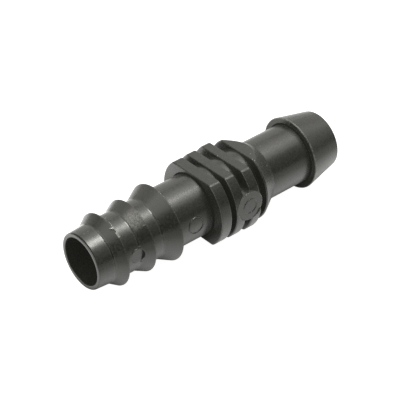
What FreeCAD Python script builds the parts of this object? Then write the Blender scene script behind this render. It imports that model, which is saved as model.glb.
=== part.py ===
import FreeCAD, Part
import Sketcher
import math
import os

# A straight barbed connector for drip tube, moulded in one piece. All sizes are in millimetres.
# It is modelled along +X from the tip of the spigot with three barbs, and then placed so that the
# middle of the collar, on the axis, is the origin. The flats of the collar face up and down.

SIZES = {
    # bore and tip
    "bore_radius": 5.5,
    "tip_radius": 6.45,
    "nose_length": 3.9,
    "nose_radius": 6.7,
    # three barbs: each is a flare, a crest and a sharp step down into the next valley
    "first_flare": 2.5,
    "first_crest_radius": 8.42,
    "first_valley": 4.0,
    "first_valley_radius": 6.8,
    "second_flare": 2.95,
    "second_crest_radius": 8.35,
    "second_valley": 3.1,
    "second_valley_radius": 6.9,
    "third_flare": 3.75,
    "third_crest_radius": 9.0,
    "near_neck": 9.65,
    "near_neck_radius": 7.1,
    # collar: four discs with grooves between them, the last disc falling away as a cone
    "first_disc": 2.8,
    "first_disc_radius": 9.98,
    "first_groove": 1.3,
    "second_disc": 2.5,
    "second_disc_radius": 10.1,
    "second_groove": 1.85,
    "third_disc": 2.4,
    "third_disc_radius": 10.23,
    "third_groove": 2.15,
    "last_disc_radius": 9.8,
    "cone_length": 4.5,
    # the grooves' floor stands over the near neck, and the flats over the grooves' floor
    "groove_rise": 0.25,
    "flat_rise": 0.5,
    # the spigot with one large barb
    "far_neck": 10.9,
    "far_neck_radius": 7.0,
    "far_barb_radius": 8.58,
    "far_barb_length": 8.6,
    "far_tip_radius": 6.75,
    # plain round pad across the second and third discs, set a little into their arcs
    "pad_radius": 3.45,
    "pad_sink": 0.43,
    "pad_lift": 0.7,
    "pad_shift": 0.5,
    # flat mark of an ejector pin, in the first valley and the foot of the second flare
    "pin_mark_radius": 1.65,
    "pin_mark_sink": 0.1,
    "pin_mark_bite": 0.85,
    "pin_mark_lift": 0.4,
    # edge rounds
    "crest_round": 0.12,
    "tip_round": 0.35,
    "mouth_round": 0.15,
    "disc_round": 0.3,
    "corner_round": 1.0,
    "neck_fillet": 0.15,
}

GROOVE_RADIUS = ["near_neck_radius", "groove_rise"]
FLAT_HEIGHT = GROOVE_RADIUS + ["flat_rise"]

# The outline of one half of the section, from tip to tip: the step along the axis to each corner,
# or None where the outline goes straight up or down, and the sizes that add up to its radius.
NEAR_SPIGOT = [
    (None, ["tip_radius"]),
    ("nose_length", ["nose_radius"]),
    ("first_flare", ["first_crest_radius"]),
    (None, ["first_valley_radius"]),
    ("first_valley", ["first_valley_radius"]),
    ("second_flare", ["second_crest_radius"]),
    (None, ["second_valley_radius"]),
    ("second_valley", ["second_valley_radius"]),
    ("third_flare", ["third_crest_radius"]),
    (None, ["near_neck_radius"]),
    ("near_neck", ["near_neck_radius"]),
]
COLLAR = [
    (None, ["first_disc_radius"]),
    ("first_disc", ["first_disc_radius"]),
    (None, GROOVE_RADIUS),
    ("first_groove", GROOVE_RADIUS),
    (None, ["second_disc_radius"]),
    ("second_disc", ["second_disc_radius"]),
    (None, GROOVE_RADIUS),
    ("second_groove", GROOVE_RADIUS),
    (None, ["third_disc_radius"]),
    ("third_disc", ["third_disc_radius"]),
    (None, GROOVE_RADIUS),
    ("third_groove", GROOVE_RADIUS),
    (None, ["last_disc_radius"]),
    ("cone_length", ["far_neck_radius"]),
]
FAR_SPIGOT = [
    ("far_neck", ["far_neck_radius"]),
    (None, ["far_barb_radius"]),
    ("far_barb_length", ["far_tip_radius"]),
]

TOUCH = 0.001  # how close an edge lies to the place where it is looked for


def steps(outline):
    """The names of the steps along the axis in a stretch of the outline."""
    return [step for step, radius in outline if step]


def reach(names):
    """The length that the named steps add up to."""
    return sum(SIZES[name] for name in names)


def expression(names):
    """The same length, as an expression on the sheet."""
    return " + ".join("sizes." + name for name in names)


BEFORE_COLLAR = steps(NEAR_SPIGOT)
BEFORE_FAR_NECK = BEFORE_COLLAR + steps(COLLAR)
ALL_STEPS = BEFORE_FAR_NECK + steps(FAR_SPIGOT)


def make_sheet(doc):
    """The driving dimensions, one to a row: name and value, with the name as the cell's alias."""
    sheet = doc.addObject("Spreadsheet::Sheet", "sizes")
    for row, (name, value) in enumerate(SIZES.items(), 1):
        sheet.set("A%d" % row, name)
        sheet.set("B%d" % row, str(value))
        sheet.setAlias("B%d" % row, name)
    doc.recompute()


def origin_plane(body, role):
    """One of the three origin planes of the body."""
    return next(item for item in body.Origin.OriginFeatures if item.Role == role)


def new_sketch(body, name, role="XZ_Plane"):
    """An empty sketch on one of the body's own origin planes."""
    sketch = body.newObject("Sketcher::SketchObject", name)
    sketch.AttachmentSupport = [(origin_plane(body, role), "")]
    sketch.MapMode = "FlatFace"
    return sketch


def drive(sketch, constraint, formula):
    """Adds a dimension to a sketch and binds it to the sheet."""
    index = sketch.addConstraint(constraint)
    sketch.setExpression("Constraints[%d]" % index, formula)


def draw_loop(sketch, corners):
    """A closed loop of straight lines through the corners, given as places along and across."""
    points = [FreeCAD.Vector(along, across, 0) for along, across in corners]
    count = len(points)
    for index in range(count):
        line = Part.LineSegment(points[index], points[(index + 1) % count])
        sketch.addGeometry(line, False)
    for index in range(count):
        joint = Sketcher.Constraint("Coincident", index, 2, (index + 1) % count, 1)
        sketch.addConstraint(joint)


def draw_circle(sketch, centre_x, centre_z, radius):
    """A circle with its centre and its radius bound to the sheet."""
    start = FreeCAD.Vector(1, 1, 0)
    circle = sketch.addGeometry(Part.Circle(start, FreeCAD.Vector(0, 0, 1), 1), False)
    drive(sketch, Sketcher.Constraint("DistanceX", -1, 1, circle, 3, start.x), centre_x)
    drive(sketch, Sketcher.Constraint("DistanceY", -1, 1, circle, 3, start.y), centre_z)
    drive(sketch, Sketcher.Constraint("Radius", circle, 1), radius)


def draw_half_section(body):
    """Half of the section along the axis, as a closed outline that stands on the axis."""
    sketch = new_sketch(body, "half_section")
    outline = NEAR_SPIGOT + COLLAR + FAR_SPIGOT
    corners = [(0, 0)]
    along = 0
    for step, radius in outline:
        along += SIZES[step] if step else 0
        corners.append((along, reach(radius)))
    corners.append((along, 0))
    draw_loop(sketch, corners)
    closing = len(corners) - 1
    sketch.addConstraint(Sketcher.Constraint("Coincident", 0, 1, -1, 1))
    for line, (step, radius) in enumerate(outline):
        height = Sketcher.Constraint("DistanceY", -1, 1, line, 2, reach(radius))
        drive(sketch, height, expression(radius))
        if step:
            length = Sketcher.Constraint("DistanceX", line, 1, line, 2, SIZES[step])
            drive(sketch, length, "sizes." + step)
        else:
            sketch.addConstraint(Sketcher.Constraint("Vertical", line))
    sketch.addConstraint(Sketcher.Constraint("Vertical", closing - 1))
    sketch.addConstraint(Sketcher.Constraint("Horizontal", closing))
    return sketch


def turn_form(body):
    """The half section turned about the axis: spigots, collar discs and necks, still solid."""
    sketch = draw_half_section(body)
    turned = body.newObject("PartDesign::Revolution", "turned_form")
    turned.Profile = sketch
    turned.ReferenceAxis = (sketch, ["H_Axis"])
    turned.Angle = 360


def cut_flats(body):
    """The flat along the top of the collar, and its mirror image below."""
    sketch = new_sketch(body, "flat_outline")
    start = reach(BEFORE_COLLAR)
    length = reach(steps(COLLAR))
    low = reach(FLAT_HEIGHT)
    depth = SIZES["third_disc_radius"]
    high = low + depth
    draw_loop(sketch, [(start, low), (start + length, low), (start + length, high), (start, high)])
    for line, kind in enumerate(["Horizontal", "Vertical", "Horizontal", "Vertical"]):
        sketch.addConstraint(Sketcher.Constraint(kind, line))
    place = Sketcher.Constraint("DistanceX", -1, 1, 0, 1, start)
    drive(sketch, place, expression(BEFORE_COLLAR))
    drive(sketch, Sketcher.Constraint("DistanceX", 0, 1, 0, 2, length), expression(steps(COLLAR)))
    drive(sketch, Sketcher.Constraint("DistanceY", -1, 1, 0, 1, low), expression(FLAT_HEIGHT))
    drive(sketch, Sketcher.Constraint("DistanceY", 1, 1, 1, 2, depth), "sizes.third_disc_radius")
    flat = body.newObject("PartDesign::Pocket", "upper_flat")
    flat.Profile = sketch
    flat.Type = "ThroughAll"
    flat.SideType = "Symmetric"
    both = body.newObject("PartDesign::Mirrored", "both_flats")
    both.Originals = [flat]
    both.MirrorPlane = (origin_plane(body, "XY_Plane"), [""])
    body.Tip = both


def rims_at(feature, along, radius):
    """The names of the full circles of a given radius at one place along the axis."""
    wanted = (along, along, radius, radius)
    names = []
    for number, edge in enumerate(feature.Shape.Edges, 1):
        box = edge.BoundBox
        found = (box.XMin, box.XMax, box.YMax, box.ZMax)
        if edge.isClosed() and all(abs(a - b) < TOUCH for a, b in zip(found, wanted)):
            names.append("Edge%d" % number)
    return names


def crest_rims(feature):
    """The crests of the three near barbs and of the far barb."""
    first = reach(["nose_length", "first_flare"])
    second = first + reach(["first_valley", "second_flare"])
    third = second + reach(["second_valley", "third_flare"])
    far = reach(BEFORE_FAR_NECK) + SIZES["far_neck"]
    rims = rims_at(feature, first, SIZES["first_crest_radius"])
    rims += rims_at(feature, second, SIZES["second_crest_radius"])
    rims += rims_at(feature, third, SIZES["third_crest_radius"])
    rims += rims_at(feature, far, SIZES["far_barb_radius"])
    return rims


def tip_rims(feature):
    """The outer edges of the two end faces."""
    near = rims_at(feature, 0, SIZES["tip_radius"])
    return near + rims_at(feature, reach(ALL_STEPS), SIZES["far_tip_radius"])


def root_rims(feature):
    """The inner corners where the necks meet the collar and the step of the far barb."""
    near = rims_at(feature, reach(BEFORE_COLLAR), SIZES["near_neck_radius"])
    step = reach(BEFORE_FAR_NECK) + SIZES["far_neck"]
    return near + rims_at(feature, step, SIZES["far_neck_radius"])


def collar_edges(feature, lengthwise):
    """The outer edges of the collar: those along the axis, or all the others."""
    start = reach(BEFORE_COLLAR) - TOUCH
    end = reach(BEFORE_FAR_NECK) - TOUCH
    names = []
    for number, edge in enumerate(feature.Shape.Edges, 1):
        middle = edge.valueAt((edge.FirstParameter + edge.LastParameter) / 2)
        outside = math.hypot(middle.y, middle.z) > reach(GROOVE_RADIUS) + TOUCH
        box = edge.BoundBox
        along = box.YLength < TOUCH and box.ZLength < TOUCH
        if box.XMin > start and box.XMax < end and outside and along == lengthwise:
            names.append("Edge%d" % number)
    return names


def disc_corners(feature):
    """The corners between the arcs and the flats of the first three discs."""
    return collar_edges(feature, True)


def disc_edges(feature):
    """The arcs and the straight edges of the four discs, and the outline of the flat on the cone."""
    return collar_edges(feature, False)


def round_edges(body, doc, name, find, radius):
    """Rounds the edges that find picks on the body as it stands."""
    doc.recompute()
    base = body.Tip
    fillet = body.newObject("PartDesign::Fillet", name)
    fillet.Base = (base, find(base))
    fillet.setExpression("Radius", "sizes." + radius)


def raise_boss(body, name, circle, face):
    """A round boss, raised sideways from the axis out to its face."""
    sketch = new_sketch(body, name + "_outline")
    draw_circle(sketch, *circle)
    boss = body.newObject("PartDesign::Pad", name)
    boss.Profile = sketch
    boss.setExpression("Length", face)


def clear_above(body, name, circle, face):
    """A round cut that takes away all that stands outside the face."""
    sketch = new_sketch(body, name + "_outline")
    sketch.setExpression("AttachmentOffset.Base.z", face)
    draw_circle(sketch, *circle)
    spot = body.newObject("PartDesign::Pocket", name)
    spot.Profile = sketch
    spot.Type = "ThroughAll"
    spot.Reversed = True


def make_flat_spot(body, name, circle, face):
    """A round flat: filled where the form falls away below its face, cut where it rises above."""
    raise_boss(body, name + "_fill", circle, face)
    clear_above(body, name + "_cut", circle, face)


def add_collar_pad(body):
    """The round pad that bridges the second and third discs on one side."""
    before = BEFORE_COLLAR + ["first_disc", "first_groove"]
    span = ["second_disc", "second_groove", "third_disc"]
    centre = "%s + (%s) / 2 + sizes.pad_shift" % (expression(before), expression(span))
    circle = (centre, "sizes.pad_lift", "sizes.pad_radius")
    make_flat_spot(body, "collar_pad", circle, "sizes.third_disc_radius - sizes.pad_sink")


def add_pin_mark(body):
    """The flat that an ejector pin leaves in the first valley and the foot of the second flare."""
    foot = expression(["nose_length", "first_flare", "first_valley"])
    centre = foot + " + sizes.pin_mark_bite - sizes.pin_mark_radius"
    circle = (centre, "sizes.pin_mark_lift", "sizes.pin_mark_radius")
    make_flat_spot(body, "pin_mark", circle, "sizes.first_valley_radius - sizes.pin_mark_sink")


def cut_bore(body):
    """The bore, straight through from tip to tip."""
    sketch = new_sketch(body, "bore_outline", "YZ_Plane")
    circle = sketch.addGeometry(Part.Circle(), False)
    sketch.addConstraint(Sketcher.Constraint("Coincident", circle, 3, -1, 1))
    drive(sketch, Sketcher.Constraint("Radius", circle, 1), "sizes.bore_radius")
    bore = body.newObject("PartDesign::Pocket", "bore")
    bore.Profile = sketch
    bore.Type = "ThroughAll"
    bore.Reversed = True


def mouth_rims(feature):
    """The inner edges of the bore at both tips."""
    near = rims_at(feature, 0, SIZES["bore_radius"])
    return near + rims_at(feature, reach(ALL_STEPS), SIZES["bore_radius"])


def make_connector(doc):
    """The whole connector as one body, with its origin in the middle of the collar."""
    body = doc.addObject("PartDesign::Body", "connector_body")
    turn_form(body)
    cut_flats(body)
    round_edges(body, doc, "rounded_corners", disc_corners, "corner_round")
    round_edges(body, doc, "rounded_discs", disc_edges, "disc_round")
    round_edges(body, doc, "rounded_crests", crest_rims, "crest_round")
    round_edges(body, doc, "rounded_tips", tip_rims, "tip_round")
    round_edges(body, doc, "neck_fillets", root_rims, "neck_fillet")
    add_collar_pad(body)
    add_pin_mark(body)
    cut_bore(body)
    round_edges(body, doc, "rounded_mouths", mouth_rims, "mouth_round")
    middle = "%s + (%s) / 2" % (expression(BEFORE_COLLAR), expression(steps(COLLAR)))
    body.setExpression("Placement.Base.x", "-(%s)" % middle)
    body.Label = "connector_body"
    return body


def check(doc, bodies):
    """Stops if a feature failed or a body isn't one sound solid."""
    failed = [item.Name for item in doc.Objects if {"Invalid", "Error"} & set(item.State)]
    if failed:
        raise RuntimeError("these features failed: " + ", ".join(failed))
    for body in bodies:
        shape = body.Shape
        if shape.isNull() or not shape.isValid() or len(shape.Solids) != 1:
            raise RuntimeError(body.Label + " isn't one valid solid")


def main():
    doc = FreeCAD.newDocument("drip_tube_connector")
    make_sheet(doc)
    bodies = [make_connector(doc)]
    doc.recompute()
    check(doc, bodies)
    os.makedirs("parts", exist_ok=True)
    for body in bodies:
        body.Shape.exportStep("parts/%s.step" % body.Label)
        box = body.Shape.optimalBoundingBox(True, False)
        sides = "%.2f x %.2f x %.2f mm" % (box.XLength, box.YLength, box.ZLength)
        print(body.Label, sides, "volume %.1f mm3" % body.Shape.Volume)


main()
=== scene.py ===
# %% [markdown]
# # A barbed connector for drip tube
# The real thing is one moulding in black plastic, about as long as a thumb. A tube is pushed over the
# barbs of each spigot, up to the collar in the middle. The CAD model already has its form, so this
# lesson is about the skin: what a steel mould, handling and a little dirt leave on black plastic, and
# how a photo studio of white walls makes that skin readable.

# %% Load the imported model
import math
import random

import bmesh
import bpy
from mathutils import Matrix, Vector
from mathutils.bvhtree import BVHTree


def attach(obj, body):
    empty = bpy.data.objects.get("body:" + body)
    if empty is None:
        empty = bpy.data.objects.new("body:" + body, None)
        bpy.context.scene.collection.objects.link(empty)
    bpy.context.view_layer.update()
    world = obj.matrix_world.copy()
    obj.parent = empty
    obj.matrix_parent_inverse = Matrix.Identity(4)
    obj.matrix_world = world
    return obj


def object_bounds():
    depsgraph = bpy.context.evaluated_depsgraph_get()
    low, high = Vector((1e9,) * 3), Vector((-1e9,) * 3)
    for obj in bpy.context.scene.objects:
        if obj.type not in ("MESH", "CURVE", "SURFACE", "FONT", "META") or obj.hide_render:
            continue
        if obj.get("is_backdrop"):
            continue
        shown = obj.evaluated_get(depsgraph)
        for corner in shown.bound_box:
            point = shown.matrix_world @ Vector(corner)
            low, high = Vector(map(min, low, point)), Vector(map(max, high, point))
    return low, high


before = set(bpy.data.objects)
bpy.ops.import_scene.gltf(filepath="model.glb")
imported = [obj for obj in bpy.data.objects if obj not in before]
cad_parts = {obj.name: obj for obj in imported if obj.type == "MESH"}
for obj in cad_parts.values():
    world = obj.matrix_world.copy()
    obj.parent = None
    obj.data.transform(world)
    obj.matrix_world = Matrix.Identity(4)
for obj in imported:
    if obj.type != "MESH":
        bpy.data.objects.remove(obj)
cad_low, cad_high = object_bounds()
scene = bpy.context.scene
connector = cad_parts["connector_body"]
MM = 0.001
print("CAD box in mm", [round(v / MM, 2) for v in (*cad_low, *cad_high)])

# %% [markdown]
# ## Camera
# The camera comes first, because all that follows is judged through it. One could drag it by eye
# until the picture looks right. Here its place is worked out from a few plain numbers: how far it
# is turned, tilted and rolled, how far away it stands, and how far the picture slides. Numbers are
# easier to correct by a hair than a hand-placed camera.

# %% Camera
LENS_PIXELS = 1531.453
IMAGE_PIXELS = 400
SENSOR_WIDTH = 36.0
NEAREST_SEEN = 0.01
TURN, TILT, ROLL = 0.667, 0.624, 0.05
DISTANCE = 332.02 * MM
SLIDE_RIGHT, SLIDE_UP = 1.373 * MM, 0.75 * MM
LOOKED_AT = Vector((-4.825 * MM, 0, 0))

flat_part, steep_part = math.cos(TILT), math.sin(TILT)
backward = Vector((-math.sin(TURN) * flat_part, -math.cos(TURN) * flat_part, steep_part))
level_right = Vector((math.cos(TURN), -math.sin(TURN), 0))
level_up = backward.cross(level_right)
camera_right = level_right * math.cos(ROLL) - level_up * math.sin(ROLL)
camera_up = level_right * math.sin(ROLL) + level_up * math.cos(ROLL)

camera_data = bpy.data.cameras.new("camera")
camera_data.sensor_width = SENSOR_WIDTH
camera_data.lens = LENS_PIXELS * SENSOR_WIDTH / IMAGE_PIXELS
camera_data.clip_start = NEAREST_SEEN
camera = bpy.data.objects.new("camera", camera_data)
stand = LOOKED_AT + backward * DISTANCE - camera_right * SLIDE_RIGHT - camera_up * SLIDE_UP
turned = Matrix((camera_right, camera_up, backward)).transposed()
camera.matrix_world = Matrix.Translation(stand) @ turned.to_4x4()
scene.collection.objects.link(camera)
scene.camera = camera
print("camera at", [round(v / MM, 1) for v in stand], "mm, lens", round(camera_data.lens, 1), "mm")

# %% [markdown]
# ## Helpers for nodes
# A material is a graph of nodes. Written out link by link it takes many lines, so the first helper
# adds one node, sets its options, and fills its sockets. A socket gets either a plain value or the
# output of another node, which is then linked. The others are short names for the nodes that come
# back again and again: a soft step, a sum, a product, a noise and a mix of two colours.

# %% Nodes
def add_node(tree, kind, inputs=None, **options):
    made = tree.nodes.new("ShaderNode" + kind)
    for name, value in options.items():
        setattr(made, name, value)
    for key, value in (inputs or {}).items():
        if isinstance(value, bpy.types.NodeSocket):
            tree.links.new(value, made.inputs[key])
        else:
            made.inputs[key].default_value = value
    return made


def blend(tree, low, high, value, start, end):
    """A soft step: low where the value is below start, high where it is above end."""
    limits = {"Value": value, "From Min": start, "From Max": end, "To Min": low, "To Max": high}
    return add_node(tree, "MapRange", limits, interpolation_type="SMOOTHSTEP").outputs["Result"]


def combine(tree, operation, first, second=0.0):
    return add_node(tree, "Math", {0: first, 1: second}, operation=operation).outputs[0]


def plus(tree, first, second):
    return combine(tree, "ADD", first, second)


def times(tree, first, second):
    return combine(tree, "MULTIPLY", first, second)


def vector_math(tree, operation, first, second=(0.0, 0.0, 0.0)):
    return add_node(tree, "VectorMath", {0: first, 1: second}, operation=operation).outputs


def noise(tree, place, scale, detail, roughness=0.5):
    inputs = {"Vector": place, "Scale": scale, "Detail": detail, "Roughness": roughness}
    return add_node(tree, "TexNoise", inputs).outputs["Fac"]


def mix_colour(tree, amount, first, second):
    mixed = add_node(tree, "Mix", {0: amount, 6: first, 7: second}, data_type="RGBA")
    return mixed.outputs[2]


print("a node, a sum or a noise now takes one line")

# %% [markdown]
# ## Helper for groups
# An effect that several materials share is a node group: a small graph with named inputs and
# outputs, built once. It could be copied into each material, but then a correction would have to be
# made in each copy.

# %% Groups
FLOAT, VECTOR = "NodeSocketFloat", "NodeSocketVector"


def new_group(name, inputs, outputs):
    group = bpy.data.node_groups.new(name, "ShaderNodeTree")
    for socket, kind in inputs:
        group.interface.new_socket(socket, in_out="INPUT", socket_type=kind)
    for socket, kind in outputs:
        group.interface.new_socket(socket, in_out="OUTPUT", socket_type=kind)
    return group, group.nodes.new("NodeGroupInput").outputs, group.nodes.new("NodeGroupOutput").inputs


print("group sockets are", FLOAT, "and", VECTOR)

# %% [markdown]
# ## Grain of the mould
# The steel of a mould is eroded or blasted, and the plastic takes its print: a skin of soft bumps a
# few hundredths of a millimetre wide. A photograph of a real sample could be laid on as a texture,
# but it would need unwrapping and repeat itself. Noise that is worked out in space has no seams, and
# the same group serves every part of the moulding. It gives a height for the bump, and a slower
# mottle for the colour and the gloss.

# %% Grain group
MIDDLING_SCALE, BROAD_SCALE = 0.3, 0.05
FINE_IN_HEIGHT = 0.45
MIDDLING_IN_MOTTLE, BROAD_IN_MOTTLE = 0.75, 0.25

grain, given, result = new_group(
    "mould_grain", [("Place", VECTOR), ("Scale", FLOAT)], [("Height", FLOAT), ("Mottle", FLOAT)])
place, scale = given["Place"], given["Scale"]
fine = noise(grain, place, scale, 2.0, 0.6)
middling = noise(grain, place, times(grain, scale, MIDDLING_SCALE), 3.0, 0.55)
broad = noise(grain, place, times(grain, scale, BROAD_SCALE), 4.0, 0.6)
grain.links.new(plus(grain, times(grain, fine, FINE_IN_HEIGHT), middling), result["Height"])
slow = times(grain, broad, BROAD_IN_MOTTLE)
mottle = plus(grain, times(grain, middling, MIDDLING_IN_MOTTLE), slow)
grain.links.new(mottle, result["Mottle"])
print("group", grain.name, "with", len(grain.nodes), "nodes")

# %% [markdown]
# ## Turning marks
# The cores and cavities of such a mould are turned on a lathe, which leaves rings that are finer
# than a hair round the axis. Rings could be modelled, but they are too small for geometry. A noise
# that changes along the axis only draws them, and a second slow noise lets them fade in and out.

# %% Turning group
FADE_SCALE = 260.0
FADE_FROM, FADE_TO = 0.4, 0.65

turning, given, result = new_group(
    "turning_marks", [("Place", VECTOR), ("Scale", FLOAT)], [("Height", FLOAT)])
along = add_node(turning, "SeparateXYZ", {0: given["Place"]}).outputs["X"]
inputs = {"W": along, "Scale": given["Scale"], "Detail": 2.0}
rings = add_node(turning, "TexNoise", inputs, noise_dimensions="1D").outputs["Fac"]
kept = blend(turning, 0.0, 1.0, noise(turning, given["Place"], FADE_SCALE, 1.0), FADE_FROM, FADE_TO)
turning.links.new(times(turning, rings, kept), result["Height"])
print("group", turning.name, "with", len(turning.nodes), "nodes")

# %% [markdown]
# ## Worn and glinting edges
# Where a corner has been handled, the plastic is polished and a little greyer. The same lighter grey
# also stands in for the glint that light draws on rounded corners, so the mark is partly wear and
# partly painted highlight. Corners could be painted by hand. The ambient occlusion node, looking
# inwards, finds them by itself: just behind a sharp outer corner there is little plastic, so the
# inward rays soon come out again. Noise breaks the line up, because real wear is never even.

# %% Wear and glint group
LOOKS = 8
WORN_AT, WHOLE_AT = 0.5, 0.9
LEAST_WEAR, GAP_FROM, GAP_TO = 0.25, 0.38, 0.58

edge_finder, given, result = new_group(
    "worn_and_glinting_edges", [("Place", VECTOR), ("Reach", FLOAT), ("Breaks", FLOAT)], [("Mask", FLOAT)])
inward = add_node(edge_finder, "AmbientOcclusion", {"Distance": given["Reach"]}, inside=True, samples=LOOKS)
corner = blend(edge_finder, 1.0, 0.0, inward.outputs["AO"], WORN_AT, WHOLE_AT)
patchy = noise(edge_finder, given["Place"], given["Breaks"], 3.0)
uneven = blend(edge_finder, LEAST_WEAR, 1.0, patchy, GAP_FROM, GAP_TO)
edge_finder.links.new(times(edge_finder, corner, uneven), result["Mask"])
print("group", edge_finder.name, "with", len(edge_finder.nodes), "nodes")

# %% [markdown]
# ## Dirt in inner corners
# Handling never reaches an inner corner, so dust stays there and takes the gloss away. It could be
# painted along each root, but the same node, looking outwards, finds all of them: in an inner corner
# the rays soon meet the other wall.

# %% Inner corner group
DIRTY_AT, CLEAN_AT = 0.5, 0.92

dirt, given, result = new_group("inner_corners", [("Reach", FLOAT)], [("Mask", FLOAT)])
outward_look = add_node(dirt, "AmbientOcclusion", {"Distance": given["Reach"]}, samples=LOOKS)
settled = blend(dirt, 1.0, 0.0, outward_look.outputs["AO"], DIRTY_AT, CLEAN_AT)
dirt.links.new(settled, result["Mask"])
print("group", dirt.name, "with", len(dirt.nodes), "nodes")

# %% [markdown]
# ## Specks
# A moulding that has lain in a bin with others has a few pin-prick chips and crumbs. Particles
# could be scattered, but a cell texture is lighter: each cell holds one point, only few cells are
# picked, and a small disc round the point is the speck.

# %% Speck group
SPECK_HEART = 0.5
PICKED_FROM, PICKED_TO = 0.86, 0.9

specks, given, result = new_group(
    "specks", [("Place", VECTOR), ("Scale", FLOAT), ("Size", FLOAT)], [("Mask", FLOAT)])
cells = add_node(specks, "TexVoronoi", {"Vector": given["Place"], "Scale": given["Scale"]}).outputs
heart = times(specks, given["Size"], SPECK_HEART)
limits = {"From Min": heart, "From Max": given["Size"], "To Min": 1.0, "To Max": 0.0}
dot = add_node(specks, "MapRange", {"Value": cells["Distance"], **limits}).outputs["Result"]
chance = add_node(specks, "SeparateColor", {0: cells["Color"]}).outputs["Red"]
picked = blend(specks, 0.0, 1.0, chance, PICKED_FROM, PICKED_TO)
specks.links.new(times(specks, dot, picked), result["Mask"])
print("group", specks.name, "with", len(specks.nodes), "nodes")

# %% [markdown]
# ## Scuff
# The second barb has one rubbed patch. It could be painted, but it has no thickness, so a mask is
# enough: full near its centre, gone at its reach, and torn into short streaks by a noise that is
# squeezed along the axis.

# %% Scuff group
SCUFF_HEART = 0.3
STREAK_STRETCH, STREAK_SCALE = (3.0, 0.8, 0.8), 3000.0
STREAK_FROM, STREAK_TO = 0.4, 0.58

scuffs, given, result = new_group(
    "scuff", [("Place", VECTOR), ("Centre", VECTOR), ("Reach", FLOAT)], [("Mask", FLOAT)])
off_centre = vector_math(scuffs, "DISTANCE", given["Place"], given["Centre"])["Value"]
share = combine(scuffs, "DIVIDE", off_centre, given["Reach"])
near = blend(scuffs, 1.0, 0.0, share, SCUFF_HEART, 1.0)
stretched = vector_math(scuffs, "MULTIPLY", given["Place"], STREAK_STRETCH)["Vector"]
streaks = noise(scuffs, stretched, STREAK_SCALE, 2.0, 0.8)
torn = blend(scuffs, 0.0, 1.0, streaks, STREAK_FROM, STREAK_TO)
scuffs.links.new(times(scuffs, near, torn), result["Mask"])
print("group", scuffs.name, "with", len(scuffs.nodes), "nodes")

# %% [markdown]
# ## Painted shade lines round a circle
# A fine dark line of painted shade goes round each round mark that is raised or sunk, where its small
# step would throw shade. The line could be a thin torus, but it has no thickness either. The mask
# measures how far a point is from a circle whose axis runs along Y, and a second mask keeps it on the
# side that faces the front.

# %% Shade line circle group
LINE_HEART = 0.3
FACING_FROM, FACING_TO = 1.0 * MM, 1.5 * MM

circles, given, result = new_group(
    "circle_shade_line", [("Place", VECTOR), ("Centre", VECTOR), ("Radius", FLOAT), ("Line", FLOAT)],
    [("Mask", FLOAT)])
offset = vector_math(circles, "SUBTRACT", given["Place"], given["Centre"])["Vector"]
flat = vector_math(circles, "MULTIPLY", offset, (1.0, 0.0, 1.0))["Vector"]
off_centre = vector_math(circles, "LENGTH", flat)["Value"]
gap = combine(circles, "ABSOLUTE", combine(circles, "SUBTRACT", off_centre, given["Radius"]))
line = blend(circles, 1.0, 0.0, combine(circles, "DIVIDE", gap, given["Line"]), LINE_HEART, 1.0)
deep = add_node(circles, "SeparateXYZ", {0: offset}).outputs["Y"]
facing = blend(circles, 1.0, 0.0, deep, FACING_FROM, FACING_TO)
circles.links.new(times(circles, line, facing), result["Mask"])
print("group", circles.name, "with", len(circles.nodes), "nodes")

# %% [markdown]
# ## Helpers for materials
# Each material here is made in the same way: it starts empty, takes the groups it needs, and ends in
# one shader and one output. Written out four times, the parts could drift apart, so they are helpers.

# %% Materials
def place_group(tree, group, inputs):
    return add_node(tree, "Group", inputs, node_tree=group).outputs


def new_material(name):
    material = bpy.data.materials.new(name)
    material.use_nodes = True
    material.node_tree.nodes.clear()
    return material, material.node_tree


def relief(tree, depth, height, **more):
    """The normal that a bump of this depth gives."""
    inputs = {"Strength": 1.0, "Distance": depth, "Height": height, **more}
    return add_node(tree, "Bump", inputs).outputs["Normal"]


def close_material(tree, colour, gloss, normal, plain):
    """The shader and the output. The values in plain are the same all over the surface."""
    inputs = {"Base Color": colour, "Roughness": gloss, "Normal": normal, **plain}
    shader = add_node(tree, "BsdfPrincipled", inputs)
    add_node(tree, "OutputMaterial", {"Surface": shader.outputs["BSDF"]})


print("there are", len(bpy.data.node_groups), "groups to place in materials")

# %% [markdown]
# ## Black plastic: what it is
# The moulding is polyethylene or polypropylene with carbon black: nearly black, satin, and never
# quite even. One flat colour would look like a drawing. So this cell names the few colours that are
# mixed, and the places where something local happens, and the next cells mix them in. The painted
# veil glow is painted light: a faint even glow given to the plastic itself, which stands in for the
# veil that a lens lays over a white scene, where black is never quite black.

# %% Colours and places
BLACK, DUSTY = (0.01, 0.01, 0.0085, 1), (0.016, 0.016, 0.0138, 1)
# the first grey is the colour of worn edges and also a painted highlight where edges glint
WORN_AND_GLINT_GREY, SCUFFED = (0.2, 0.2, 0.185, 1), (0.28, 0.28, 0.26, 1)
# painted shade: the dark colour of the lines round the rings and the pin's flat spot
LINE_SHADE_COLOUR = (0.004, 0.004, 0.004, 1)
# painted light: a faint glow given to the plastic itself, standing in for the veil of the lens
PAINTED_VEIL_GLOW = (0.008, 0.008, 0.0068, 1)
GLOSSY_IOR = 1.7
# these plain values carry the painted veil glow as emission, for every material that uses them
PLASTIC = {"IOR": GLOSSY_IOR, "Emission Color": PAINTED_VEIL_GLOW, "Emission Strength": 1.0}

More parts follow.
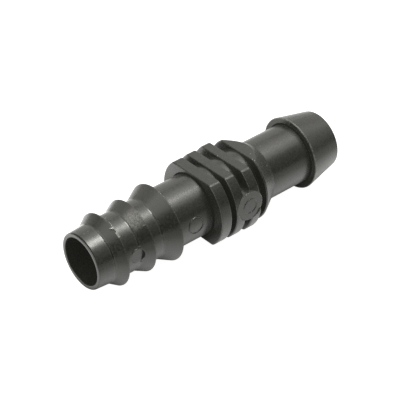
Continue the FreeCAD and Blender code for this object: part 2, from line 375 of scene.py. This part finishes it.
COLLAR_FRONT, COLLAR_FADE = -8.3 * MM, 0.6 * MM
FAR_BARB_X = 19.65 * MM
SCUFF_CENTRE, SCUFF_REACH = (-26.9 * MM, -3.2 * MM, 6.6 * MM), 3.1 * MM
PAD_RING_CENTRE, PAD_RING_RADIUS = (-0.7 * MM, -9.8 * MM, 0.6 * MM), 1.75 * MM
NECK_RING_CENTRE, NECK_RING_RADIUS = (-13.5 * MM, -6.9 * MM, 0.4 * MM), 1.9 * MM
PIN_CENTRE, PIN_RADIUS = (-29.0 * MM, -6.7 * MM, 0.4 * MM), 1.63 * MM
RING_LINE, PIN_LINE = 0.3 * MM, 0.2 * MM
print("the scuff reaches", round(SCUFF_REACH / MM, 1), "mm from its centre")
print("the far barb starts at", round(FAR_BARB_X / MM, 2), "mm along the axis")

# %% [markdown]
# ## Black plastic: its masks
# Each group from above is placed with values for this moulding. The painted shade lines of the two
# rings and of the ejector pin's flat spot could be three masks, but they never touch, so the largest
# of the three at each point serves as one.

# %% Masks of the black plastic
plastic, tree = new_material("black_plastic")
where = add_node(tree, "TexCoord").outputs["Object"]
along = add_node(tree, "SeparateXYZ", {0: where}).outputs["X"]
skin = place_group(tree, grain, {"Place": where, "Scale": 7000.0})
lathe = place_group(tree, turning, {"Place": where, "Scale": 9000.0})
edges = place_group(tree, edge_finder, {"Place": where, "Reach": 0.4 * MM, "Breaks": 1400.0})
corners = place_group(tree, dirt, {"Reach": 0.3 * MM})
chips = place_group(tree, specks, {"Place": where, "Scale": 520.0, "Size": 0.09})
scuff = place_group(tree, scuffs, {"Place": where, "Centre": SCUFF_CENTRE, "Reach": SCUFF_REACH})
lines = 0.0
for centre, radius, width in ((PAD_RING_CENTRE, PAD_RING_RADIUS, RING_LINE),
                              (NECK_RING_CENTRE, NECK_RING_RADIUS, RING_LINE),
                              (PIN_CENTRE, PIN_RADIUS, PIN_LINE)):
    inputs = {"Place": where, "Centre": centre, "Radius": radius, "Line": width}
    lines = combine(tree, "MAXIMUM", place_group(tree, circles, inputs)["Mask"], lines)
print("black plastic has", len(tree.nodes), "nodes for its masks")

# %% [markdown]
# ## Black plastic: its colour
# A chain of mixes lays one effect over the other: dust, wear with painted highlights on the edges,
# the scuff, the specks and the lines of painted shade round the circles. The wear and glint could be
# as strong everywhere, but the collar is what fingers hold and its corners glint, and the edge of the
# far barb gets the brightest painted highlight line. So its strength grows along the part in two
# steps.

# %% Colour of the black plastic
DUST_FROM, DUST_TO = 0.4, 0.62
BARB_WEAR_AND_GLINT, COLLAR_WEAR_AND_GLINT, FAR_BARB_GLINT = 0.2, 0.5, 1.3
FAR_GLINT_FROM, FAR_GLINT_TO = FAR_BARB_X - 0.5 * MM, FAR_BARB_X - 0.2 * MM
SCUFF_COLOUR, CHIP_COLOUR, LINE_COLOUR = 0.55, 0.8, 0.6

veil = blend(tree, 0.0, 1.0, skin["Mottle"], DUST_FROM, DUST_TO)
colour = mix_colour(tree, veil, BLACK, DUSTY)
# partly wear, partly painted highlight: lighter edges on the collar, and a painted highlight line on
# the far barb's edge
wear_and_glint = blend(tree, BARB_WEAR_AND_GLINT, COLLAR_WEAR_AND_GLINT, along, COLLAR_FRONT, COLLAR_FRONT + COLLAR_FADE)
wear_and_glint = plus(tree, wear_and_glint, blend(tree, 0.0, FAR_BARB_GLINT, along, FAR_GLINT_FROM, FAR_GLINT_TO))
colour = mix_colour(tree, times(tree, edges["Mask"], wear_and_glint), colour, WORN_AND_GLINT_GREY)
colour = mix_colour(tree, times(tree, scuff["Mask"], SCUFF_COLOUR), colour, SCUFFED)
colour = mix_colour(tree, times(tree, chips["Mask"], CHIP_COLOUR), colour, SCUFFED)
# painted shade: a dark line round the rings and the pin's flat spot
colour = mix_colour(tree, times(tree, lines, LINE_COLOUR), colour, LINE_SHADE_COLOUR)
print("black plastic has", len(tree.nodes), "nodes with its colour")

# %% [markdown]
# ## Black plastic: its gloss and relief
# The scuff and the dust in the corners take gloss away, and handling gives a little back. Grain,
# turning marks, specks, the scuff and the lines round the circles, which also carry the painted
# shade, are gathered into one height, because one bump node is cheaper than five. It starts from the
# normal of a bevel node, which rounds every sharp edge by a tenth or two of a millimetre without a
# change to the mesh, so that edges catch the light.

# %% Gloss and relief of the black plastic
MOTTLE_FROM, MOTTLE_TO = 0.38, 0.64
SCUFF_DULLS, WEAR_SHINES, DIRT_DULLS = 0.12, 0.06, 0.65
LATHE_HEIGHT, CHIP_HEIGHT, SCUFF_HEIGHT, LINE_DEPTH = 0.35, 3.0, 1.5, 8.0
EDGE_ROUND, EDGE_LOOKS = 0.16 * MM, 6
GRAIN_DEPTH = 0.0024 * MM


def uneven_gloss(tree, low, high, mottle):
    return blend(tree, low, high, mottle, MOTTLE_FROM, MOTTLE_TO)


gloss = uneven_gloss(tree, 0.26, 0.34, skin["Mottle"])
gloss = plus(tree, gloss, times(tree, scuff["Mask"], SCUFF_DULLS))
gloss = combine(tree, "SUBTRACT", gloss, times(tree, edges["Mask"], WEAR_SHINES))
gloss = plus(tree, gloss, times(tree, corners["Mask"], DIRT_DULLS))

height = plus(tree, skin["Height"], times(tree, lathe["Height"], LATHE_HEIGHT))
height = plus(tree, height, times(tree, chips["Mask"], CHIP_HEIGHT))
height = plus(tree, height, times(tree, scuff["Mask"], SCUFF_HEIGHT))
height = combine(tree, "SUBTRACT", height, times(tree, lines, LINE_DEPTH))
rounded = add_node(tree, "Bevel", {"Radius": EDGE_ROUND}, samples=EDGE_LOOKS).outputs["Normal"]
close_material(tree, colour, gloss, relief(tree, GRAIN_DEPTH, height, Normal=rounded), PLASTIC)
connector.data.materials.clear()
connector.data.materials.append(plastic)
print("black plastic has", len(tree.nodes), "nodes in all")

# %% [markdown]
# ## Finding the surface
# Small raised marks have to sit exactly on the moulding. Their places could be typed in, but then
# each change of the CAD would leave them floating. Casting a ray at the CAD mesh gives the point
# and the outward direction there, so the marks follow the form whatever it is. Round the axis, a
# place is given by its distance along the axis and its angle, counted from the front over the top.

# %% Rays onto the moulding
surface = bmesh.new()
surface.from_mesh(connector.data)
skin_tree = BVHTree.FromBMesh(surface)
surface.free()
FAR_AWAY = 30.0 * MM
NEAR_NECK_MIDDLE = -14.0 * MM


def land(start, direction):
    """The point that a ray from start meets, and the outward direction there."""
    point, normal, _, _ = skin_tree.ray_cast(Vector(start), Vector(direction))
    return point, normal


def around(along, radius, degrees):
    """The point at this place along the axis, this far from it, at this angle round it."""
    angle = math.radians(degrees)
    return Vector((along, 0, 0)) + Vector((0, -math.cos(angle), math.sin(angle))) * radius


def land_around(along, degrees):
    """The point of the surface at this place and angle, and the outward direction there."""
    return land(around(along, FAR_AWAY, degrees), -around(0, 1, degrees))


def sweep(start, end, steps):
    """Angles from start to end. A whole turn leaves out the last one, which is the first again."""
    count = steps if end - start == 360 else steps + 1
    return [start + (end - start) * step / steps for step in range(count)]


top, _ = land_around(NEAR_NECK_MIDDLE, 90)
print("the near neck is", round(top.z / MM, 2), "mm above the axis")

# %% [markdown]
# ## Lofts
# The rings, the parting lines, the burr, the strips and wedges of painted shade and the soft feet of
# the barbs are all the same kind of thing: a small section carried along a path. A curve with a bevel
# could make one, but its section would be the same all along. Here each station of the path gives its
# own loop of points, so a form can fade out or be ragged, and its underside sinks into the plastic so
# that no gap shows.

# %% Loft helper
def add_piece(name, mesh, material):
    """The finished mesh as a piece that rides on the connector."""
    data = bpy.data.meshes.new(name)
    mesh.to_mesh(data)
    mesh.free()
    data.materials.append(material)
    piece = bpy.data.objects.new(name, data)
    scene.collection.objects.link(piece)
    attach(piece, "root")
    print(name, "has", len(data.polygons), "faces")


def loft(name, loops, closed, material, smooth=True):
    """A skin through loops of points, all with the same number of points."""
    mesh = bmesh.new()
    rows = [[mesh.verts.new(point) for point in loop] for loop in loops]
    pairs = list(zip(rows, rows[1:]))
    if closed:
        pairs.append((rows[-1], rows[0]))
    count = len(loops[0])
    for row, following in pairs:
        for index in range(count):
            after = (index + 1) % count
            mesh.faces.new((row[index], row[after], following[after], following[index]))
    if not closed:
        mesh.faces.new(rows[0])
        mesh.faces.new(reversed(rows[-1]))
    bmesh.ops.recalc_face_normals(mesh, faces=mesh.faces)
    for face in mesh.faces:
        face.smooth = smooth
    add_piece(name, mesh, material)


# %% [markdown]
# ## A low ridge
# Most of these forms stand on the skin as a low rounded ridge. Its section is one list of points, in
# shares of half its width and of its height, and its ends reach half its height into the plastic.

# %% Ridge section
RIDGE_SECTION = [(-1.0, -0.5), (-0.8, 0.25), (-0.45, 0.8), (0.0, 1.0),
                 (0.45, 0.8), (0.8, 0.25), (1.0, -0.5)]


def ridge_loop(point, outward, sideways, half_width, height):
    """The section of a low rounded ridge that stands on a point of the surface."""
    return [point + sideways * across * half_width + outward * rise * height
            for across, rise in RIDGE_SECTION]


print("a ridge has", len(RIDGE_SECTION), "points a section")

# %% [markdown]
# ## Crisp plastic
# Marks that are cut into the mould with a sharp tool come out smoother than the blasted skin round
# them. The same groups serve, with a finer grain, less height and more gloss. No wear is drawn on
# them, because such marks are thin, and the node that finds corners would take all of them for one.

# %% Crisp plastic
CRISP_DEPTH = 0.002 * MM
CRISP_DUST_TO = 0.65

crisp, tree = new_material("crisp_plastic")
where = add_node(tree, "TexCoord").outputs["Object"]
skin = place_group(tree, grain, {"Place": where, "Scale": 9000.0})
chips = place_group(tree, specks, {"Place": where, "Scale": 700.0, "Size": 0.08})
veil = blend(tree, 0.0, 1.0, skin["Mottle"], DUST_FROM, CRISP_DUST_TO)
colour = mix_colour(tree, chips["Mask"], mix_colour(tree, veil, BLACK, DUSTY), SCUFFED)
gloss = uneven_gloss(tree, 0.13, 0.2, skin["Mottle"])
close_material(tree, colour, gloss, relief(tree, CRISP_DEPTH, skin["Height"]), PLASTIC)
print("crisp plastic has", len(tree.nodes), "nodes")

# %% [markdown]
# ## Soft feet of the barbs
# Where a barb starts to rise from the valley before it, the corner of the mould is slightly blunt,
# and that blunt line catches the light as a thin bright arc. The CAD has a sharp corner there. A
# fillet half a millimetre wide, laid over the corner, gives the arc. Rays find the two feet of each
# section, and a curve between them bends round the corner. The second foot leaves out the flat spot
# that an ejector pin pressed there.

# %% Soft feet
FEET = [("soft_foot_first", -34.7 * MM, 0.25 * MM, 0, 360),
        ("soft_foot_second", -28.2 * MM, 0.3 * MM, 18, 348),
        ("soft_foot_third", -22.15 * MM, 0.3 * MM, 0, 360)]
FOOT_STEPS = 120
FOOT_SHARES = (0.0, 0.2, 0.4, 0.6, 0.8, 1.0)
FOOT_SINK, FOOT_DEPTH = 0.008 * MM, 0.1 * MM


def foot_loop(along, degrees, reach):
    outward = around(0, 1, degrees)
    before, corner, after = [land_around(along + step, degrees)[0] for step in (-reach, 0.0, reach)]
    loop = []
    for share in FOOT_SHARES:
        bent = before * (1 - share) ** 2 + corner * 2 * share * (1 - share) + after * share ** 2
        loop.append(bent - outward * FOOT_SINK * abs(2 * share - 1))
    return loop + [corner - outward * FOOT_DEPTH]


for name, along, reach, start, end in FEET:
    loops = [foot_loop(along, degrees, reach) for degrees in sweep(start, end, FOOT_STEPS)]
    loft(name, loops, end - start == 360, crisp)

# %% [markdown]
# ## Matt shade filler
# This material is painted shade: a matt filler, darker than the plastic beside it because it reflects
# so little, laid where a corner or an edge lies in shade. A mask on the black plastic can dull the
# gloss, but not take the reflection away. So the filler gets a material of its own, with a low index
# of refraction, full roughness and a crumbly bump.

# %% Matt shade filler
# painted shade: the colours of the matt filler that darkens shaded corners and edges
SHADE_FILLER_DARK, SHADE_FILLER_PALE = (0.003, 0.003, 0.0026, 1), (0.012, 0.012, 0.01, 1)
SHADE_FILLER_DEPTH = 0.006 * MM
SHADE_FILLER_IOR = 1.25

shade_filler, tree = new_material("matt_shade_filler")
where = add_node(tree, "TexCoord").outputs["Object"]
skin = place_group(tree, grain, {"Place": where, "Scale": 5000.0})
colour = mix_colour(tree, skin["Mottle"], SHADE_FILLER_DARK, SHADE_FILLER_PALE)
gloss = uneven_gloss(tree, 0.85, 1.0, skin["Mottle"])
filler_bump = relief(tree, SHADE_FILLER_DEPTH, skin["Height"])
close_material(tree, colour, gloss, filler_bump, {**PLASTIC, "IOR": SHADE_FILLER_IOR})
print("caked dirt has", len(tree.nodes), "nodes")

# %% [markdown]
# ## Painted shade in the two roots
# Where a neck meets the collar, and where it meets the step of the far barb, the corner shows no
# glint at all, only shade. It could be left to the mask, but that doesn't hide the corner. So the
# shade is painted as a small hollow wedge of matt filler all the way round, with its section in
# millimetres.

# %% Root shade
ROOTS = [("root_shade_near", -8.75 * MM, 7.1 * MM), ("root_shade_far", FAR_BARB_X, 7.0 * MM)]
ROOT_STEPS = 120
ROOT_SECTION = [(-0.32, -0.03), (-0.32, 0.01), (-0.13, 0.05), (-0.05, 0.14), (-0.01, 0.34),
                (0.03, 0.34), (0.03, -0.03)]

# painted shade: a dark matt wedge round each root
for name, along, radius in ROOTS:
    loops = [[around(along + step * MM, radius + rise * MM, degrees) for step, rise in ROOT_SECTION]
             for degrees in sweep(0, 360, ROOT_STEPS)]
    loft(name, loops, True, shade_filler)

# %% [markdown]
# ## Painted shade at the mouth
# Over the upper half of the mouth, a dark line of painted shade runs along its rounded outer edge. It
# could be a mask, but at this size a mask only greys the highlight. So a flat strip of the same matt
# shade filler lies on the edge, and it gets narrow towards both ends.

# %% Mouth shade
MOUTH_X = -38.36 * MM
MOUTH_FROM, MOUTH_TO, MOUTH_STEPS = 36, 116, 80
MOUTH_WIDTH, MOUTH_HEIGHT = 0.13 * MM, 0.015 * MM
NARROWEST = 0.2
ALONG = Vector((1, 0, 0))

# painted shade: a dark matt strip along the upper edge of the mouth
loops = []
for degrees in sweep(MOUTH_FROM, MOUTH_TO, MOUTH_STEPS):
    point, normal = land_around(MOUTH_X, degrees)
    sideways = normal.cross(around(0, 1, degrees).cross(ALONG)).normalized()
    swell = math.sin(math.pi * (degrees - MOUTH_FROM) / (MOUTH_TO - MOUTH_FROM)) ** 0.5
    half_width = MOUTH_WIDTH * (NARROWEST + (1 - NARROWEST) * swell)
    loops.append(ridge_loop(point, normal, sideways, half_width, MOUTH_HEIGHT))
loft("mouth_shade", loops, False, shade_filler)

# %% [markdown]
# ## Rings on the neck and the pad
# Mould makers often leave a small plain raised ring on a neck or a pad. A torus would stand off the
# round neck at its sides, so the circle is drawn flat and dropped onto the moulding point by point.

# %% Rings
RING_WIDTH = 0.15 * MM
RING_STEPS = 96
NECK_RING_HEIGHT, PAD_RING_HEIGHT = 0.14 * MM, 0.1 * MM


def ring_loops(centre, radius, height):
    made = []
    for degrees in sweep(0, 360, RING_STEPS):
        angle = math.radians(degrees)
        outward_flat = Vector((math.cos(angle), 0, math.sin(angle)))
        start = Vector((centre[0], -FAR_AWAY, centre[2])) + outward_flat * radius
        point, normal = land(start, (0, 1, 0))
        sideways = (outward_flat - normal * outward_flat.dot(normal)).normalized()
        made.append(ridge_loop(point, normal, sideways, RING_WIDTH, height))
    return made


loft("neck_ring", ring_loops(NECK_RING_CENTRE, NECK_RING_RADIUS, NECK_RING_HEIGHT), True, crisp)
loft("pad_ring", ring_loops(PAD_RING_CENTRE, PAD_RING_RADIUS, PAD_RING_HEIGHT), True, crisp)

# %% [markdown]
# ## Parting lines
# Where the two halves of the mould meet, a hair of plastic creeps in between them and leaves a line
# along the top and the bottom of each spigot. It is about a hundredth of a millimetre high, and it
# comes and goes, because the halves close unevenly. It could be drawn in the bump, but it crosses
# the steps of the barbs. So rays from above and below find the profile, and seeded random heights
# make the line uneven in the same way on every run.

# %% Parting lines
LINE_WIDTH, LINE_HEIGHT = 0.06 * MM, 0.015 * MM
LINE_STEP, LINE_CLEAR = 0.25 * MM, 0.35 * MM
LOWEST_SHARE = 0.2
TUCKED_WIDTH, TUCKED_HEIGHT = 0.2, 0.1
COLLAR_HALF, TIP_CLEAR = 9.2 * MM, 0.6 * MM
dice = random.Random(7)


def line_stations(start, end, direction):
    """Ridge sections along the profile. Before a step of the profile the ridge is tucked in."""
    outward, sideways = Vector((0, 0, -direction)), Vector((0, 1, 0))
    made = []
    count = int((end - start) / LINE_STEP)
    last = None
    for step in range(count + 1):
        along = start + (end - start) * step / count
        point, _ = land((along, 0, -direction * FAR_AWAY), (0, 0, direction))
        if last is not None and abs(point.z - last.z) > LINE_CLEAR:
            tucked = LINE_WIDTH * TUCKED_WIDTH, LINE_HEIGHT * TUCKED_HEIGHT
            made.append(ridge_loop(last, outward, sideways, *tucked))
        height = LINE_HEIGHT * dice.uniform(LOWEST_SHARE, 1.0)
        made.append(ridge_loop(point, outward, sideways, LINE_WIDTH, height))
        last = point
    return made


SPANS = [("near", cad_low.x + TIP_CLEAR, -COLLAR_HALF),
         ("far", COLLAR_HALF, cad_high.x - TIP_CLEAR)]
for side, start, end in SPANS:
    for level, direction in (("upper", -1), ("lower", 1)):
        loft("parting_line_" + side + "_" + level, line_stations(start, end, direction), False, crisp)

# %% [markdown]
# ## Torn plastic and glints
# Where black plastic is torn or bent sharply, it turns paler and rough. It gets its own material
# from the same groups: a coarse grain, many specks and a lighter colour. On the crumbs below, the
# same pale colour also serves as painted highlight, standing in for glints.

# %% Torn plastic and glints
# partly painted highlight: on the crumbs these pale colours stand in for glints
TORN_DARK, TORN_PALE, TORN_SPECK = (0.15, 0.15, 0.14, 1), (0.42, 0.42, 0.4, 1), (0.4, 0.4, 0.37, 1)
PALE_FROM, PALE_TO = 0.42, 0.6
TORN_DEPTH = 0.01 * MM

torn_plastic_and_glints, tree = new_material("torn_plastic_and_glints")
where = add_node(tree, "TexCoord").outputs["Object"]
skin = place_group(tree, grain, {"Place": where, "Scale": 4000.0})
chips = place_group(tree, specks, {"Place": where, "Scale": 2400.0, "Size": 0.3})
veil = blend(tree, 0.0, 1.0, skin["Mottle"], PALE_FROM, PALE_TO)
colour = mix_colour(tree, chips["Mask"], mix_colour(tree, veil, TORN_DARK, TORN_PALE), TORN_SPECK)
gloss = uneven_gloss(tree, 0.16, 0.3, skin["Mottle"])
close_material(tree, colour, gloss, relief(tree, TORN_DEPTH, skin["Height"]), {"IOR": GLOSSY_IOR})
print("torn plastic has", len(tree.nodes), "nodes")

# %% [markdown]
# ## Burr on the first barb
# The first barb has a short ragged burr on its crest, as after a tube was pulled off in a hurry. A
# bump can't stand out from the edge, so the burr is real plastic. One flake of it hangs over the
# slope before the crest, and its length jumps from station to station. Below it a lifted scale
# follows the slope, and rises towards its end, so that it catches the light. Flat faces suit a tear.

# %% Burr
CREST_X, CREST_RADIUS = -32.2 * MM, 8.42 * MM
BURR_FROM, BURR_TO, BURR_STEPS = 48, 76, 70
BURR_FOOT, BURR_LEAST, BURR_THICK = 0.12 * MM, 0.02 * MM, 0.05 * MM
FLAKE_AT, FLAKE_SPREAD, FLAKE_LENGTH, FLAKE_LIFT = 65, 3.0, 0.95 * MM, 0.12 * MM
SCALE_FROM, SCALE_LENGTH, SCALE_LIFT = 57, 0.32 * MM, 0.28 * MM
BARB_SLOPE = 0.65


def burr_loop(degrees):
    flake = FLAKE_LENGTH * math.exp(-((degrees - FLAKE_AT) / FLAKE_SPREAD) ** 2)
    reach = flake * dice.uniform(0.7, 1.1) + BURR_LEAST
    lift = min(reach * 0.3, FLAKE_LIFT) * dice.uniform(0.6, 1.3)
    fall = 0.0
    if degrees < SCALE_FROM:
        reach = SCALE_LENGTH * dice.uniform(0.9, 1.1)
        lift = SCALE_LIFT * (SCALE_FROM - degrees) / (SCALE_FROM - BURR_FROM)
        fall = BARB_SLOPE * reach
    end = lift * 0.8 - fall
    upper = [(BURR_FOOT, -0.06 * MM), (0.0, lift), (-reach * 0.5, lift - fall * 0.5), (-reach, end)]
    under = [(-reach, end - BURR_THICK), (-reach * 0.5, -reach * 0.4 - 0.04 * MM), (0.0, -0.2 * MM)]
    return [around(CREST_X + step, CREST_RADIUS + rise, degrees) for step, rise in upper + under]


burr_loops = [burr_loop(degrees) for degrees in sweep(BURR_FROM, BURR_TO, BURR_STEPS)]
loft("crest_burr", burr_loops, False, torn_plastic_and_glints, smooth=False)

# %% [markdown]
# ## Crumbs and painted glints
# A few pale bits of torn plastic sit on the moulding where bright dashes show: partly crumbs, and
# partly painted highlights on edges that catch the light. The specks in the material are spread by
# chance, so these few get a small mesh each: a squashed ball, turned along the surface and half sunk
# into it. They are joined in one piece. Each row gives a crumb's place along the axis, its angle,
# half its length and half its thickness, in millimetres and degrees.

# %% Crumbs and glints
# partly painted highlight: some of these pale bits stand in for glints on edges
CRUMBS_AND_GLINTS = [
    (-25.8, 47.2, 0.32, 0.12), (-24.4, 77, 0.16, 0.06), (-18.62, 76, 0.14, 0.07),
    (-18.6, 80, 0.12, 0.06), (-18.66, 70, 0.1, 0.06), (-28.3, 55, 0.1, 0.05),
    (4.4, 58, 0.22, 0.06), (8.58, 62.7, 0.1, 0.07), (7.83, 41.2, 0.09, 0.07),
    (9.9, 80, 0.08, 0.06)]
CRUMB_JITTER = 0.006 * MM

mesh = bmesh.new()
for along, degrees, length, thick in CRUMBS_AND_GLINTS:
    point, normal = land_around(along * MM, degrees)
    turn = Vector((dice.uniform(0.2, 1.0), dice.uniform(-0.6, 0.6), 0.1))
    sideways = normal.cross(turn).normalized()
    lengthwise = sideways.cross(normal)
    axes = Matrix((lengthwise * length * MM, sideways * thick * MM, normal * thick * MM)).transposed()
    there = Matrix.Translation(point) @ axes.to_4x4()
    bmesh.ops.create_icosphere(mesh, subdivisions=3, radius=1.0, matrix=there)
for vertex in mesh.verts:
    vertex.co += Vector([dice.uniform(-CRUMB_JITTER, CRUMB_JITTER) for _ in range(3)])
add_piece("crumbs_and_glints", mesh, torn_plastic_and_glints)

# %% [markdown]
# ## Floor
# The object was laid on something white, and the ground in the photo is pure white. More light would
# bleach the ground, but the object too. Instead the floor glows by itself where the camera or a
# reflection looks at it, while its matt part still takes the shadow. This cell makes the plane.

# %% Floor plane
FLOOR_SIZE = 3.0

floor_data = bpy.data.meshes.new("floor")
half = FLOOR_SIZE / 2
low = cad_low.z
outline = [(-half, -half, low), (half, -half, low), (half, half, low), (-half, half, low)]
floor_data.from_pydata(outline, [], [(0, 1, 2, 3)])
floor = bpy.data.objects.new("floor", floor_data)
scene.collection.objects.link(floor)
floor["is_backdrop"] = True
print("floor", FLOOR_SIZE, "m square at", round(low / MM, 2), "mm")

# %% [markdown]
# ## What the plastic sees in the floor
# Glossy black plastic mirrors the ground round it. An even glow would draw one flat grey band along
# its underside. In the photo the paper is bright in some places and shaded in others, so the glow
# that reflections see changes with the distance from the part: a near zone in front of it, a wide
# zone behind it that is stronger along the near spigot, and a zone past the mouth, which the flat
# front of the mouth mirrors.

# %% Floor glow
FLOOR_GLOW = 0.97
NEAR_GLOW, NEAR_RISE, NEAR_FALL = 0.86, (1 * MM, 9 * MM), (10 * MM, 36 * MM)
FAR_GLOW, FAR_RISE = 0.65, (12 * MM, 30 * MM)
LEFT_GAIN, LEFT_RISE, LEFT_FALL = 1.5, (-30 * MM, -22 * MM), (-16 * MM, -8 * MM)
END_GLOW, END_RISE, END_FALL = 0.8, (-70 * MM, -56 * MM), (-42.5 * MM, -39.5 * MM)
FRONT_FADE = (-4 * MM, 2 * MM)


def band(tree, value, rise, fall):
    """1 between the rise and the fall, and 0 outside them."""
    return times(tree, blend(tree, 0.0, 1.0, value, *rise), blend(tree, 1.0, 0.0, value, *fall))


paper, tree = new_material("white_paper")
spot = add_node(tree, "NewGeometry").outputs["Position"]
sides = add_node(tree, "SeparateXYZ", {0: spot}).outputs
nearest = add_node(tree, "Clamp", {0: sides["X"], 1: cad_low.x, 2: cad_high.x}).outputs[0]
off_end = combine(tree, "SUBTRACT", sides["X"], nearest)
flat_way = add_node(tree, "CombineXYZ", {0: off_end, 1: sides["Y"]}).outputs[0]
away = vector_math(tree, "LENGTH", flat_way)["Value"]
in_front = blend(tree, 1.0, 0.0, sides["Y"], *FRONT_FADE)
behind = combine(tree, "SUBTRACT", 1.0, in_front)

near_glow = times(tree, times(tree, band(tree, away, NEAR_RISE, NEAR_FALL), NEAR_GLOW), in_front)
leftwards = times(tree, band(tree, sides["X"], LEFT_RISE, LEFT_FALL), LEFT_GAIN)
far_glow = times(tree, blend(tree, 0.0, FAR_GLOW, away, *FAR_RISE), plus(tree, leftwards, 1.0))
end_glow = times(tree, band(tree, sides["X"], END_RISE, END_FALL), END_GLOW)
mirrored = plus(tree, near_glow, times(tree, plus(tree, far_glow, end_glow), behind))
print("the mirrored glow takes", len(tree.nodes), "nodes")

# %% [markdown]
# ## White paper
# The material could be one glowing shader, but then the floor would take no shadow. So a matt grey
# and a glow are added. The glow has the full strength for the camera, which makes the ground white,
# and the pattern from above for reflections. For all other rays it is off, so it lights nothing.

# %% White paper
MATT_GREY = (0.42, 0.42, 0.41, 1)

rays = add_node(tree, "LightPath").outputs
reflected = times(tree, rays["Is Glossy Ray"], mirrored)
direct = times(tree, rays["Is Camera Ray"], FLOOR_GLOW)
glow = add_node(tree, "Emission", {"Strength": plus(tree, direct, reflected)})
matt = add_node(tree, "BsdfDiffuse", {"Color": MATT_GREY})
both = add_node(tree, "AddShader", {0: matt.outputs[0], 1: glow.outputs[0]})
add_node(tree, "OutputMaterial", {"Surface": both.outputs[0]})
floor_data.materials.append(paper)
print("white paper has", len(tree.nodes), "nodes")

# %% [markdown]
# ## Soft walls
# Black plastic shows almost nothing but reflections, so the room round it draws the form. Single
# lamps would give it hard small highlights. The photo has long soft ones, as in a tent of white
# cloth: a bright ceiling and left side, greyer walls behind, and darkness towards the camera. Each
# wall is a soft patch of the world round one direction, and one group draws all of them.

# %% Soft patch group
PATCH_EDGE, PATCH_HEART = math.cos(math.radians(36)), math.cos(math.radians(4))

patch, given, result = new_group(
    "soft_patch", [("Look", VECTOR), ("Toward", VECTOR), ("Strength", FLOAT)], [("Light", FLOAT)])
meeting = vector_math(patch, "DOT_PRODUCT", given["Look"], given["Toward"])["Value"]
inside = blend(patch, 0.0, 1.0, meeting, PATCH_EDGE, PATCH_HEART)
patch.links.new(times(patch, inside, given["Strength"]), result["Light"])


def toward(azimuth, elevation):
    """A direction: azimuth from +X towards +Y, elevation above the floor, both in degrees."""
    level = math.cos(math.radians(elevation))
    across, deep = math.cos(math.radians(azimuth)), math.sin(math.radians(azimuth))
    return (level * across, level * deep, math.sin(math.radians(elevation)))


print("group", patch.name, "with", len(patch.nodes), "nodes")

# %% [markdown]
# ## The room
# The walls could be planes with lamps behind them, but planes would need to stay out of the
# camera's view. In the world they have no place, only a direction, so they can't get in the way. The
# camera itself sees plain white there.

# %% Studio world
WALLS = {
    "ceiling_left": (toward(180, 62), 1.4),
    "ceiling_right": (toward(0, 62), 1.6),
    "ceiling_back": (toward(95, 62), 0.8),
    "ceiling_front": (toward(270, 62), 0.4),
    "back_wall": (toward(68, 38), 0.42),
    "front_wall": (toward(292, 38), 0.25),
    "back_low": (toward(45, 12), 0.7),
    "behind": (toward(90, 12), 0.55),
    "behind_left": (toward(135, 12), 0.25),
    "left_low": (toward(180, 12), 2.4),
    "right_low": (toward(0, 12), 0.95),
}
LIGHT_COLOUR = (1, 0.995, 0.94)
WHITE = (1, 1, 1, 1)

world = bpy.data.worlds.new("studio")
scene.world = world
world.use_nodes = True
tree = world.node_tree
tree.nodes.clear()
look = add_node(tree, "TexCoord").outputs["Generated"]
total = 0.0
for direction, strength in WALLS.values():
    wall = place_group(tree, patch, {"Look": look, "Toward": direction, "Strength": strength})
    total = plus(tree, wall["Light"], total)
room = add_node(tree, "Background", {"Color": (*LIGHT_COLOUR, 1), "Strength": total})
backdrop = add_node(tree, "Background", {"Color": WHITE})
seen = add_node(tree, "LightPath").outputs["Is Camera Ray"]
either = add_node(tree, "MixShader", {0: seen, 1: room.outputs[0], 2: backdrop.outputs[0]})
add_node(tree, "OutputWorld", {"Surface": either.outputs[0]})
print("the world has", len(WALLS), "soft walls")

# %% [markdown]
# ## Lamp
# The shadow beside the part and part of its upper highlights come from one square lamp. It hangs
# high over the far end, a little towards the camera. A larger square would wash the shadow out, and
# a smaller one would make it hard.

# %% Lamp
LAMP_SIZE = 0.16
LAMP_POWER = 0.9
LAMP_PLACE = Vector((0.09, -0.05, 0.42))

lamp_data = bpy.data.lights.new("square_lamp", "AREA")
lamp_data.shape = "SQUARE"
lamp_data.size = LAMP_SIZE
lamp_data.energy = LAMP_POWER
lamp_data.color = LIGHT_COLOUR
lamp = bpy.data.objects.new("square_lamp", lamp_data)
lamp.location = LAMP_PLACE
lamp.rotation_mode = "QUATERNION"
lamp.rotation_quaternion = (-LAMP_PLACE).to_track_quat("-Z", "Y")
scene.collection.objects.link(lamp)
print("lamp", LAMP_SIZE, "m square,", round(LAMP_PLACE.length, 2), "m away")

# %% [markdown]
# ## Finish
# The standard view shows each colour about as it is written. A filmic one would be kinder to bright
# spots, but would grey the white ground. Last, the dressed box is printed beside the CAD box printed
# at the start, so that one can see that the dressed part hasn't outgrown the CAD model.

# %% Finish
scene.view_settings.view_transform = "Standard"
low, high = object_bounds()
print("dressed box in mm", [round(v / MM, 2) for v in (*low, *high)])
